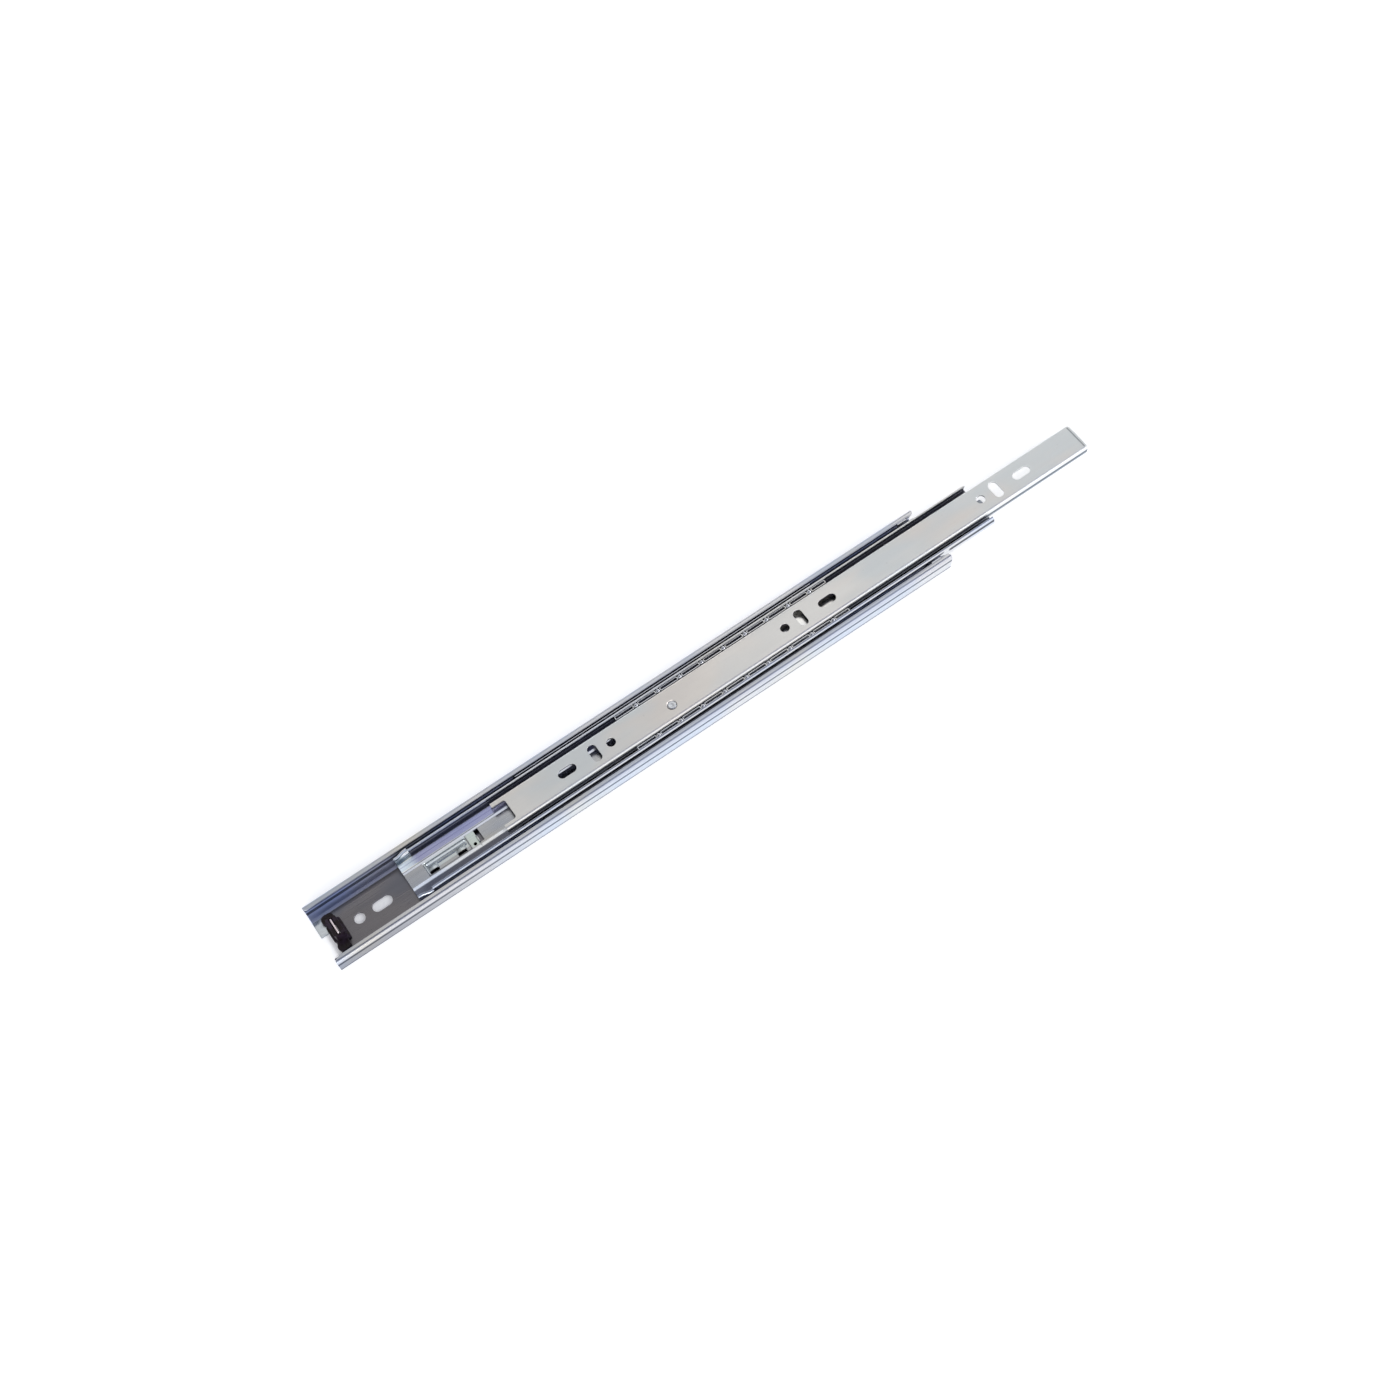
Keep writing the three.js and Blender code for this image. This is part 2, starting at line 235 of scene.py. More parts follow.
def loft(name, rings, strip=False):
    """Closed body through equal rings of (x, y, z).

    A strip ring holds one side of a sheet's section and then the other, reversed.
    """
    n = len(rings[0])
    faces = [(k * n + i, k * n + (i + 1) % n, (k + 1) * n + (i + 1) % n, (k + 1) * n + i)
             for k in range(len(rings) - 1) for i in range(n)]
    for base in (0, (len(rings) - 1) * n):
        if strip:
            faces += [(base + i, base + i + 1, base + n - 2 - i, base + n - 1 - i) for i in range(n // 2 - 1)]
        else:
            faces.append(tuple(range(base, base + n)))
    return thing(name, [p for r in rings for p in r], faces)


def prism(outline, z0, z1):
    """Upright bar whose outline is (x, y)."""
    return loft("prism", [[(a, b, z) for a, b in outline] for z in (z0, z1)])


def bar_x(outline, x0, x1):
    """Bar along X whose outline is (y, z)."""
    return loft("bar", [[(x, a, b) for a, b in outline] for x in (x0, x1)])


def bar_y(outline, y0, y1):
    """Bar along Y whose outline is (x, z)."""
    return loft("bar", [[(a, y, b) for a, b in outline] for y in (y0, y1)])


def block(x0, x1, y0, y1, z0, z1):
    return prism([(x0, y0), (x1, y0), (x1, y1), (x0, y1)], z0, z1)


def round_bar(cx, cy, r, z0, z1):
    return prism(circle(cx, cy, r, 40), z0, z1)


def punch(x, y, length, width, z_low, z_high, across=False):
    """Cutter for a round or slotted hole through a sheet, with a chamfer at both rims."""
    levels = [(z_low - PAST, RIM), (z_low, RIM), (z_low + RIM, 0),
              (z_high - RIM, 0), (z_high, RIM), (z_high + PAST, RIM)]
    rings = [[(a, b, z) for a, b in slot(x, y, length, width, across, grow)] for z, grow in levels]
    return loft("punch", rings)


def turned(name, profile, cx, cy, steps):
    """Closed body turned about an upright axis. profile is (radius, z) from one pole to the other."""
    verts = [(cx, cy, profile[0][1])]
    for r, z in profile[1:-1]:
        verts += [(a, b, z) for a, b in circle(cx, cy, r, steps)]
    verts.append((cx, cy, profile[-1][1]))
    last = len(verts) - 1
    around = [(k, (k + 1) % steps) for k in range(steps)]
    faces = [(0, 1 + a, 1 + b) for a, b in around]
    for base in range(1, last - steps, steps):
        faces += [(base + a, base + steps + a, base + steps + b, base + b) for a, b in around]
    faces += [(last, last - steps + b, last - steps + a) for a, b in around]
    return thing(name, verts, faces)


def slab(name, xs, ys, height, thickness):
    """A formed patch of sheet: its upper face is height(x, y), and the lower one lies a thickness beneath."""
    nx, ny = len(xs), len(ys)
    top = [(x, y, height(x, y)) for x in xs for y in ys]
    verts = top + [(x, y, z - thickness) for x, y, z in top]

    def at(i, j, under=0):
        return i * ny + j + under * nx * ny

    faces = []
    for i in range(nx - 1):
        for j in range(ny - 1):
            faces.append((at(i, j), at(i + 1, j), at(i + 1, j + 1), at(i, j + 1)))
            faces.append((at(i, j, 1), at(i, j + 1, 1), at(i + 1, j + 1, 1), at(i + 1, j, 1)))
    for i in range(nx - 1):
        for j in (0, ny - 1):
            faces.append((at(i, j), at(i + 1, j), at(i + 1, j, 1), at(i, j, 1)))
    for j in range(ny - 1):
        for i in (0, nx - 1):
            faces.append((at(i, j), at(i, j + 1), at(i, j + 1, 1), at(i, j, 1)))
    return thing(name, verts, faces)


def member(name, x0, x1, path_at, thickness, stations=(), warp=None):
    """A rolled sheet section from x0 to x1, with chamfered ends.

    path_at(x, side) is its middle line at x on one side, and warp(x, y, z) moves its points.
    """
    xs = [(x0, True), (x0 + EDGE, False)] + [(x, False) for x in stations] + [(x1 - EDGE, False), (x1, True)]
    rings = []
    for x, at_end in xs:
        faces = sheet([path_at(x, side) for side in (1, -1)], thickness - (2 * EDGE if at_end else 0))
        rings.append([(x, p.x, p.y) for p in faces[0]] + [(x, p.x, p.y) for p in reversed(faces[1])])
    if warp:
        rings = [[warp(*p) for p in r] for r in rings]
    return loft(name, rings, strip=True)


def soften(obj, voxel, turns):
    """Moulded look: a voxel remesh and a few smoothing turns round every edge."""
    m = obj.modifiers.new("remesh", "REMESH")
    m.mode, m.voxel_size = "VOXEL", voxel
    m = obj.modifiers.new("smooth", "SMOOTH")
    m.factor, m.iterations = 0.5, turns
    return bake(obj)


def bevel(obj, width, segments=2):
    m = obj.modifiers.new("bevel", "BEVEL")
    m.width, m.segments, m.limit_method, m.angle_limit = width, segments, "ANGLE", math.radians(35)
    return bake(obj)


def keep(obj, name, body, material, nodes, sharp=32):
    """Turns a working object into a piece: row frame, shading, material and body, and hides the CAD nodes it
    stands for.
    """
    bm = bmesh.new()
    bm.from_mesh(obj.data)
    bmesh.ops.remove_doubles(bm, verts=bm.verts, dist=0.0005)
    bmesh.ops.dissolve_degenerate(bm, edges=bm.edges, dist=0.0005)
    bmesh.ops.holes_fill(bm, edges=[e for e in bm.edges if e.is_boundary], sides=0)
    bmesh.ops.recalc_face_normals(bm, faces=bm.faces)
    bm.to_mesh(obj.data)
    bm.free()
    obj.data.transform(Matrix.Scale(0.001, 4) @ Matrix.Translation((-OUTER_LENGTH / 2, 0, 0)))
    obj.name = obj.data.name = name
    obj.data.shade_smooth()
    obj.data.set_sharp_from_angle(angle=math.radians(sharp))
    obj.data.materials.clear()
    obj.data.materials.append(material)
    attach(obj, body)
    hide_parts(*nodes)


# ------------------------------------------------------------------ materials
FAR = 999.0                       # no limit on that side of a zone
ALL = (-FAR, FAR, 1)


class Graph:
    """Short hand for building one material's nodes."""

    def __init__(self, name):
        self.material = bpy.data.materials.new(name)
        self.material.use_nodes = True
        self.tree = self.material.node_tree
        self.tree.nodes.clear()
        out = self.add("ShaderNodeOutputMaterial")
        self.shader = self.add("ShaderNodeBsdfPrincipled")
        self.link(self.shader.outputs[0], out.inputs["Surface"])
        self.place = self.add("ShaderNodeTexCoord").outputs["Object"]

    def add(self, kind, **values):
        node = self.tree.nodes.new(kind)
        for key, value in values.items():
            setattr(node, key, value)
        return node

    def link(self, a, b):
        self.tree.links.new(a, b)

    def feed(self, key, value):
        """Sets one of the shader's inputs, from a socket or to a plain value."""
        if isinstance(value, bpy.types.NodeSocket):
            self.link(value, self.shader.inputs[key])
        else:
            self.shader.inputs[key].default_value = value

    def noise(self, scale, stretch=(1, 1, 1), detail=3.0, rough=0.5, offset=(0, 0, 0)):
        mapping = self.add("ShaderNodeMapping")
        mapping.inputs["Scale"].default_value = [scale * s for s in stretch]
        mapping.inputs["Location"].default_value = offset
        self.link(self.place, mapping.inputs["Vector"])
        node = self.add("ShaderNodeTexNoise")
        node.inputs["Scale"].default_value = 1.0
        node.inputs["Detail"].default_value = detail
        node.inputs["Roughness"].default_value = rough
        self.link(mapping.outputs[0], node.inputs["Vector"])
        return node.outputs["Fac"]

    def remap(self, value, low, high, to_low, to_high, smooth=True):
        node = self.add("ShaderNodeMapRange")
        node.interpolation_type = "SMOOTHSTEP" if smooth else "LINEAR"
        for key, number in zip(("From Min", "From Max", "To Min", "To Max"), (low, high, to_low, to_high)):
            node.inputs[key].default_value = number
        self.link(value, node.inputs["Value"])
        return node.outputs["Result"]

    def math(self, op, a, b):
        node = self.add("ShaderNodeMath", operation=op)
        for socket, value in zip(node.inputs, (a, b)):
            if isinstance(value, (int, float)):
                socket.default_value = value
            else:
                self.link(value, socket)
        return node.outputs[0]

    def mix(self, factor, a, b, blend="MIX"):
        node = self.add("ShaderNodeMix", data_type="RGBA", blend_type=blend)
        for key, value in (("Factor_Float", factor), ("A_Color", a), ("B_Color", b)):
            socket = next(s for s in node.inputs if s.identifier == key)
            if isinstance(value, (int, float)):
                socket.default_value = value
            elif isinstance(value, tuple):
                socket.default_value = (*value, 1.0)
            else:
                self.link(value, socket)
        return next(s for s in node.outputs if s.identifier == "Result_Color")

    def bump(self, height, distance, strength=1.0, under=None):
        node = self.add("ShaderNodeBump")
        node.inputs["Strength"].default_value = strength
        node.inputs["Distance"].default_value = distance
        self.link(height, node.inputs["Height"])
        if under is not None:
            self.link(under, node.inputs["Normal"])
        return node.outputs[0]

    def split(self):
        """The X, Y and Z sockets of the surface point's place."""
        node = self.add("ShaderNodeSeparateXYZ")
        self.link(self.place, node.inputs[0])
        return node.outputs

    def within(self, xyz, zone, soft=0.3):
        """1 inside a zone and 0 outside it, with sides soft mm wide."""
        x0, x1, fade, y0, y1, z0, z1 = zone
        inside = 1.0
        for axis, low, high, origin, width in (("X", x0, x1, OUTER_LENGTH / 2, fade), ("Y", y0, y1, 0, soft),
                                               ("Z", z0, z1, 0, soft)):
            for limit, start, end in ((low, 0, 1), (high, 1, 0)):
                if abs(limit) < FAR:
                    at = limit - origin
                    ramp = self.remap(xyz[axis], (at - width) / 1000, (at + width) / 1000, start, end)
                    inside = self.math("MULTIPLY", inside, ramp)
        return inside


def darker(colour, share):
    return tuple(c * share for c in colour)


def both(xs, y0, y1, z0, z1, tint):
    """The same zone on each side of the centre line."""
    return [(*xs, y0, y1, z0, z1, tint), (*xs, -y1, -y0, z0, z1, tint)]


def zinc(name, base, cool, warm, rough, streaks=0.5, painted_light_zones=(), seed=0.0):
    """Zinc-plated rolled steel, with cool and straw patches, fine rolling lines along X, stains and scuffs.

    A zone is (low x, high x, fade, low y, high y, low z, high z, tint), in mm. Its tint multiplies the colour
    under it: painted shade down in the channels, on hole walls and along rolled lines, and painted highlights
    and reflections where it lightens.
    """
    g = Graph(name)
    patches = g.noise(26, (0.5, 1, 1), detail=3, offset=(seed, 0, 0))
    tint = g.noise(17, (0.7, 1.6, 1), detail=2, offset=(3 + seed, 1, 0))
    lines = g.noise(1, (9, 1500, 1500), detail=4, rough=0.65, offset=(seed, 2, 5))
    broad = g.noise(1, (5, 330, 330), detail=3, rough=0.6, offset=(seed, 7, 1))
    spots = g.noise(420, detail=3, rough=0.7, offset=(seed, 4, 2))
    scuffs = g.noise(1, (160, 1900, 1900), detail=2, offset=(seed, 9, 3))
    colour = g.mix(g.remap(patches, 0.42, 0.62, 0, 1), base, cool)
    colour = g.mix(g.remap(tint, 0.5, 0.68, 0, 1), colour, warm)
    colour = g.mix(g.remap(broad, 0.3, 0.7, 0.0, streaks * 0.3), colour, darker(base, 0.72))
    colour = g.mix(g.remap(spots, 0.66, 0.8, 0, 0.35), colour, darker(base, 0.6))
    xyz = g.split()
    # painted shade and painted highlights: each zone's tint multiplies the colour under it
    for *zone, shade in painted_light_zones:
        inside = g.within(xyz, zone)
        colour = g.mix(inside, colour, g.mix(1.0, colour, shade, "MULTIPLY"))
    g.feed("Base Color", colour)
    level = g.math("ADD", g.remap(lines, 0.25, 0.75, rough - 0.03, rough + 0.05, False),
                   g.remap(patches, 0.35, 0.65, -0.03, 0.05))
    level = g.math("ADD", level, g.remap(scuffs, 0.64, 0.76, 0, 0.16))
    g.feed("Roughness", level)
    normal = g.bump(lines, 0.000012, 0.32)
    normal = g.bump(scuffs, 0.000010, 0.4, normal)
    waves = g.noise(60, (0.6, 1, 1), detail=1, offset=(seed, 3, 3))
    g.feed("Normal", g.bump(waves, 0.00012, 0.35, normal))
    g.feed("Metallic", 1.0)
    return g.material


def polished(name, base, rough):
    """Ball steel: smooth, with fine lapping marks and a little oil film."""
    g = Graph(name)
    film = g.noise(900, detail=2)
    marks = g.noise(5200, detail=4, rough=0.7)
    g.feed("Base Color", g.mix(g.remap(film, 0.4, 0.65, 0, 0.5), base, darker(base, 0.8)))
    g.feed("Roughness", g.remap(marks, 0.3, 0.75, rough, rough + 0.12))
    g.feed("Normal", g.bump(marks, 0.000004, 0.4))
    g.feed("Metallic", 1.0)
    return g.material


def moulded(name, base, light, rough, grain, gloss=0.5, seed=0.0):
    """Moulded rubber or plastic: dark, with a dusty bloom, fine grain and rubbed patches."""
    g = Graph(name)
    bloom = g.noise(210, detail=3, rough=0.6, offset=(seed, 0, 0))
    fine = g.noise(grain, detail=4, rough=0.7, offset=(seed, 1, 0))
    dust = g.noise(2600, detail=2, offset=(seed, 5, 2))
    dusty = tuple(min(1, c * 3 + 0.04) for c in light)
    colour = g.mix(g.remap(bloom, 0.42, 0.66, 0, 1), base, light)
    g.feed("Base Color", g.mix(g.remap(dust, 0.66, 0.8, 0, 0.4), colour, dusty))
    g.feed("Roughness", g.remap(bloom, 0.35, 0.7, rough - 0.1, rough + 0.12))
    g.feed("Normal", g.bump(fine, 0.00005, 0.6))
    g.feed("Metallic", 0.0)
    g.feed("Specular IOR Level", gloss)
    return g.material


# painted light on the plating: tints below 1 are painted shade, tints above 1 painted highlights and
# reflections
OUTER_PAINTED_LIGHT = [
    (*ALL, -14.4, 14.4, -1, 2.3, (0.30, 0.285, 0.295)),           # web: painted shade
    *both(ALL, 14.4, 21.0, -1, 2.4, (1.0, 1.03, 1.22)),           # race floors: painted blue reflection
    *both(ALL, 20.4, 21.7, 4.9, 10.4, (0.28, 0.30, 0.36)),        # inner faces of the walls: painted reflection in three bands
    *both(ALL, 20.8, 21.7, 3.3, 4.9, (1.0, 1.05, 1.15)),
    *both(ALL, 20.8, 21.7, 1.9, 3.3, (0.3, 0.32, 0.4)),
    (-FAR, 6.0, 1, 2.6, 14.4, -1, 3, (3.0, 3.25, 3.1)),           # raised rear edge of the web: painted highlight
    (-FAR, 12.5, 1, -6, 6, 8, 11.2, (1.7, 1.42, 1.36)),           # bumper tab: painted highlight
    *both((-FAR, 90, 75), 21.9, 23, 1.6, 9.9, (0.50, 0.50, 0.53)),  # outer faces of the walls: painted shade on the rear half, a little painted light all along
    *both((-FAR, 120, 75), 22.1, 23, 8.6, 9.9, (0.8, 0.8, 0.82)),
    *both(ALL, 21.9, 23, 1.6, 10, (1.07, 1.09, 1.08)),
    *both(ALL, 21.9, 23, 7.5, 8.6, (0.28, 0.29, 0.32)),           # painted shade along the rolled line
    *both(ALL, 20.5, 23, -1, 2.4, (0.28, 0.30, 0.34)),            # painted contact shadow on the bends beside the cabinet
]
# painted light on the plating: tints below 1 are painted shade, tints above 1 painted highlights
MID_PAINTED_LIGHT = [
    (*ALL, -5.2, 5.3, -1, 7, (0.62, 0.61, 0.61)),                 # web: painted shade
    (74, 103.5, 1, -2.0, 5.3, -1, 7, (1.35, 1.45, 1.45)),         # pressed panel: painted highlight
    (104.2, 109.6, 0.5, -4.6, 5.3, -1, 7, (1.35, 1.5, 1.42)),     # strip in front of it: painted highlight
    (*ALL, 7.2, 12.4, -1, 7.3, (0.66, 0.67, 0.98)),               # +Y step: painted blue reflection, with a painted dark line along it
    (*ALL, 9.7, 10.3, -1, 7.3, (0.72, 0.72, 0.8)),
    (*ALL, 12.6, 15.9, 6.0, 11.2, (0.26, 0.26, 0.30)),            # +Y race: painted shade
    (-FAR, 71.0, 3.5, 6.4, 12.5, -1, 8, (1.75, 1.9, 1.45)),       # lanced rear end: painted highlights
    (-FAR, 70.6, 1.5, 12.4, 17.8, 6, 11.6, (2.1, 2.3, 2.1)),
    (*ALL, -7.6, -5.4, -1, 7.3, (1.3, 1.3, 1.3)),                 # edge of the -Y step: painted highlight
    (*ALL, -15.3, -8.0, -1, 11.2, (0.30, 0.30, 0.35)),            # -Y race: painted shade
    (452, FAR, 1, -18, -16.0, 8.8, 10.9, (0.10, 0.11, 0.13)),     # painted dark lines outside the -Y wall, at the front
    (452, FAR, 1, -18.5, -15.6, -1, 6.6, (0.34, 0.36, 0.42)),
]
# painted reflection bands and painted shade on the inner member's plating
INNER_PAINTED_LIGHT = [
    *both(ALL, 10.2, 12.5, 8.6, 11.0, (0.66, 0.69, 0.74)),        # flanges: painted reflection, with painted dark lines along them
    *both(ALL, 10.2, 12.2, 9.4, 10.3, (0.25, 0.26, 0.29)),
    *both(ALL, 10.2, 12.6, 7.5, 8.7, (0.14, 0.15, 0.17)),
    (*ALL, -6, 6, 11, 12.2, (0.25, 0.25, 0.28)),                  # hole walls: painted shade
    (563.9, 564.8, 0.2, -9, 9, 12, 14, (0.6, 0.61, 0.62)),        # crease before the folded end: painted shade
    (566.0, FAR, 0.3, -10, 10, 8, 14, (0.74, 0.75, 0.76)),        # folded end: painted shade
]
# painted shade on the outer retainer, down in the dark races
CAGE_PAINTED_SHADE = [
    (*ALL, -19.5, -16.6, 2, 11.5, (0.16, 0.16, 0.18)),            # outer retainer's walls: painted shade
    (*ALL, 16.6, 19.5, 2, 10.2, (0.16, 0.16, 0.19)),
]
OUTER_ZINC = zinc("outer_zinc_plate", (0.64, 0.64, 0.66), (0.58, 0.62, 0.70), (0.67, 0.65, 0.60), 0.26,
                  streaks=0.2, seed=1.0, painted_light_zones=OUTER_PAINTED_LIGHT)
MID_ZINC = zinc("intermediate_zinc_plate", (0.70, 0.71, 0.72), (0.62, 0.67, 0.76), (0.71, 0.70, 0.66), 0.22,
                streaks=0.3, seed=5.0, painted_light_zones=MID_PAINTED_LIGHT)
INNER_ZINC = zinc("inner_zinc_plate", (0.86, 0.845, 0.812), (0.81, 0.838, 0.832), (0.88, 0.835, 0.78), 0.40,
                  streaks=0.15, seed=9.0, painted_light_zones=INNER_PAINTED_LIGHT)
CAGE_STEEL = zinc("retainer_plate", (0.90, 0.90, 0.91), (0.84, 0.87, 0.92), (0.91, 0.89, 0.85), 0.24,
                  seed=13.0, painted_light_zones=CAGE_PAINTED_SHADE)
RIVET_STEEL = zinc("rivet_plate", (0.82, 0.82, 0.81), (0.76, 0.79, 0.84), (0.84, 0.82, 0.77), 0.28, seed=17.0)
BALL_STEEL = polished("ball_steel_polished", (0.66, 0.67, 0.70), 0.08)
# darkened copy of the ball steel for the outer rows: painted shade, where those balls lie down in the dark
# races
SHADED_BALL_STEEL = polished("ball_steel_painted_shade", (0.13, 0.13, 0.14), 0.18)
RUBBER = moulded("bumper_rubber_moulded", (0.012, 0.006, 0.008), (0.034, 0.022, 0.038), 0.36, 3000,
                 gloss=0.25)
PLASTIC = moulded("lever_plastic_moulded", (0.022, 0.022, 0.024), (0.036, 0.036, 0.040), 0.42, 4200,
                  seed=3.0)


# ------------------------------------------------------------------ outer member
HOLE, SLOT = 7.2, 13.6            # width of its screw holes, and length of the slots
LEAN_X, LEAN = 5.0, 2.4           # the front end leans back towards the web, over this length and this far
TAB = {"x0": 9.9, "x1": 11.0, "half": 5.7}


def outer_path(x, side):
    return [(0, 0.6), (14.2, 0.6, 1.2), (16.4, 1.0, 1.2), (OUTER_WALL_Y, 1.0, 0.75),
            (OUTER_WALL_Y, OUTER_LIP_Z, 1.5), (OUTER_LIP_EDGE, OUTER_LIP_Z)]


def outer_lean(x, y, z):
    past = x - (OUTER_LENGTH - LEAN_X)
    if past > 0:
        x -= LEAN * max(0.0, (10 - z) / 11) * past / LEAN_X
    return x, y, z


def lift_height(x, y):
    return OUTER_SHEET - 0.02 + 0.7 * smooth_step((6.0 - x) / 6.0) * smooth_step((14.2 - y) / 2.5)


outer = member("outer", 0, OUTER_LENGTH, outer_path, OUTER_SHEET, [OUTER_LENGTH - LEAN_X], outer_lean)
tools = []
# the lips' corners are rounded, the one at the -Y lip's rear end most of all
for side, rear_reach in ((1, 2.6), (-1, 6.0)):
    for x, way, reach, across in ((0, 1, rear_reach, 3.2), (OUTER_LENGTH, -1, 2.2, 2.2)):
        y = OUTER_LIP_EDGE
        curve = [(x + way * reach * (1 - a), y + across * (1 - b)) for b, a in arc(0, 0, 1, 0, 90, 14)]
        points = [(x - way, y - 1), (x + way * reach, y - 1), *curve, (x - way, y + across)]
        tools.append(prism([(a, side * b) for a, b in points], OUTER_LIP_Z - 1.6, OUTER_LIP_Z + 1.6))
for x, length in ((25.4, HOLE), (41.3, SLOT), (186, SLOT), (393, SLOT), (413, HOLE)):
    tools.append(punch(x, 0, length, HOLE, 0, OUTER_SHEET))
# a cut in the web's rear edge, and the opening that the bumper's tab is bent up from
tools.append(prism(round_end(-1, 6.0, -13.6, 2.8, 1.4, 8), -1, 3))
tools.append(block(TAB["x1"], 15.6, -TAB["half"], TAB["half"], -1, 3))
carve(outer, tools)
# a thin line rolled along the outside of each wall
for side in (1, -1):
    line = [(23, 7.7), (22.48, 7.7), (22.2, 8.2), (22.2, 8.9), (22.48, 9.2), (23, 9.2)]
    carve(outer, [bar_x([(side * a, b) for a, b in line], -2, OUTER_LENGTH + 2)])
# the web's rear edge is turned up a little beside the cut
weld(outer, [slab("lift", spread(0, 6.2, 0.5), spread(2.9, 14.2, 1.13), lift_height, 0.9)])
# upright tab for the bumper, and a stop tab for the retainer on each side
tab = bar_x(round_top(-TAB["half"], TAB["half"], 0.3, 11.0, 1.2, 6), TAB["x0"], TAB["x1"])
weld(outer, [bevel(tab, 0.32, 3)])
for y in (17.7, -18.9):
    weld(outer, [block(437.4, 444, y, y + 1.2, 8.2, OUTER_LIP_Z)])
keep(outer, "outer_rail", "cabinet_side", OUTER_ZINC, ["outer_member"])


# ------------------------------------------------------------------ intermediate member
LANCE = 70.6                      # the side walls are lanced outwards up to here, as a stop
# pressed panel: a step down all round, a bead along it and two louvres
PANEL = {"x0": 73.4, "x1": 103.9, "y0": -4.9, "y1": 5.3, "deep": 0.65}
LOUVRES = (74.9, 94.6)
LOUVRE_LENGTH = 6.2


def mid_path(x, side):
    rear = smooth_step((72.5 - x) / 9)
    out = 1.5 * smooth_step((x - 62.5) / 7.0) if x <= LANCE else 0.0
    wall = 15.75 + out
    step = (6.7, 5.6, 0.7) if side > 0 else (7.9, 5.6, 1.2)
    foot = (wall + 0.85 - 0.4 * out, 6.3 - 0.2 * rear, 1.0)
    return [(0, 4.7), (5.4, 4.7, 0.7), step, (12.5, 6.1 - 0.3 * rear, 2.4), foot,
            (wall, 8.4, 1.3), (wall, 11.3, 1.3), (14.3 + out, 11.65)]


def panel_height(x, y):
    p = PANEL
    edge = min(x - p["x0"], p["x1"] - x, y - p["y0"], p["y1"] - y)
    z = MID_TOP - 0.02 - p["deep"] * smooth_step(edge / 0.7)
    along = smooth_step((x - 74.6) / 1.0) * smooth_step((103.0 - x) / 1.0)
    z += along * (1.1 * math.exp(-((y - 3.5) / 0.9) ** 2) + 0.3 * math.exp(-((y - 0.8) / 0.5) ** 2))
    for x0 in LOUVRES:
        t = (x - x0 - LOUVRE_LENGTH / 2) / 3.3
        if abs(t) < 1 and y > -3:
            z += 1.15 * (1 - t * t) ** 0.5 * smooth_step((1.9 - y) / 2.4)
    return z


mid = member("mid", MID_REAR, MID_FRONT, mid_path, MID_SHEET,
             [62.5, 64, 65.5, 67, 68.5, 69.8, LANCE, LANCE + 0.05, 71.5, 72.5])
carve(mid, [block(PANEL["x0"] + 0.05, PANEL["x1"] - 0.05, PANEL["y0"] + 0.05, PANEL["y1"] - 0.05, 3, 7)])
weld(mid, [slab("panel", spread(PANEL["x0"], PANEL["x1"], 0.31), spread(PANEL["y0"], PANEL["y1"], 0.2),
                panel_height, 0.9)])
carve(mid, [block(x, x + LOUVRE_LENGTH, -4.0, -2.3, 3, 9) for x in LOUVRES])
# a pin hole, and the opening that the upright stop is bent up from
carve(mid, [punch(106.7, -3.2, 2, 2, 4.15, 5.25), block(109.8, 112.8, -4.0, 5.2, 3, 7)])
weld(mid, [bevel(bar_x(round_top(-3.8, 0.6, 4.4, 7.0, 0.6, 4), 109.2, 110.2), 0.12)])
# tongue at the front end of the web
weld(mid, [bevel(prism(round_end(MID_FRONT - 1, MID_FRONT + 4.2, -4.4, 4.4, 1.0, 6), 4.17, 5.23), 0.1)])
keep(mid, "intermediate_rail", "intermediate", MID_ZINC, ["intermediate_member"])


# ------------------------------------------------------------------ inner member
INNER_HOLE, INNER_SLOT = 6.0, 12.6
INNER_LOW = INNER_TOP - INNER_SHEET               # lower face of its web
END_HALF, END_SHEET = 9.2, 1.15                   # half width and thickness of the folded end
SEAT = [(1.8, 8.0), (1.8, 11.9), (2.9, 12.12), (3.15, 12.45), (3.45, INNER_TOP), (3.45, 15)]


def inner_path(x, side):
    return [(0, 12.13), (10.6, 12.13, 1.4), (10.3, 9.7, 1.6), (11.35, 8.4)]


inner = member("inner", INNER_REAR, INNER_FRONT - 0.8, inner_path, INNER_SHEET)
tools = [prism(round_end(INNER_REAR - 1, 135.6, -7.3, 7.3, 1.6, 8), 0, 20)]
# three groups of a round hole, an upright slot and a long slot; the rear group runs backwards
for x, way in ((208.5, -1), (337.9, 1), (489.0, 1)):
    for step, length, across in ((0, INNER_HOLE, False), (12, INNER_SLOT, True), (32, INNER_SLOT, False)):
        tools.append(punch(x + way * step, 0, length, INNER_HOLE, INNER_LOW, INNER_TOP, across))
# dished seat of the lever rivet
tools.append(loft("seat", [[(a, b, z) for a, b in circle(RIVET_X, RIVET_Y, r, 40)] for r, z in SEAT]))
carve(inner, tools)
# folded end, with clipped corners, a crease before it and a relief on each side
fx = INNER_FRONT
flange = [(-END_HALF, 9.3), (-8.2, 8.4), (8.2, 8.4), (END_HALF, 9.3), (END_HALF, 11.7), (-END_HALF, 11.7)]
weld(inner, [bevel(bar_x(flange, fx - END_SHEET, fx), 0.12)])
fold = [(fx - 3, INNER_LOW), (fx - END_SHEET, 10.9), (fx, 10.9),
        *arc(fx - 1.5, INNER_TOP - 1.5, 1.5, 0, 90, 10), (fx - 3, INNER_TOP)]
weld(inner, [bar_y(fold, -END_HALF, END_HALF)])
crease = [(fx - 2.75, 13), (fx - 2.4, 12.5), (fx - 2.2, 12.5), (fx - 1.85, 13)]
carve(inner, [bar_y(crease, -9.8, 9.8)])
carve(inner, [prism(slot(fx - 0.2, side * 9.9, 3.2, 1.2), 0, 20) for side in (1, -1)])
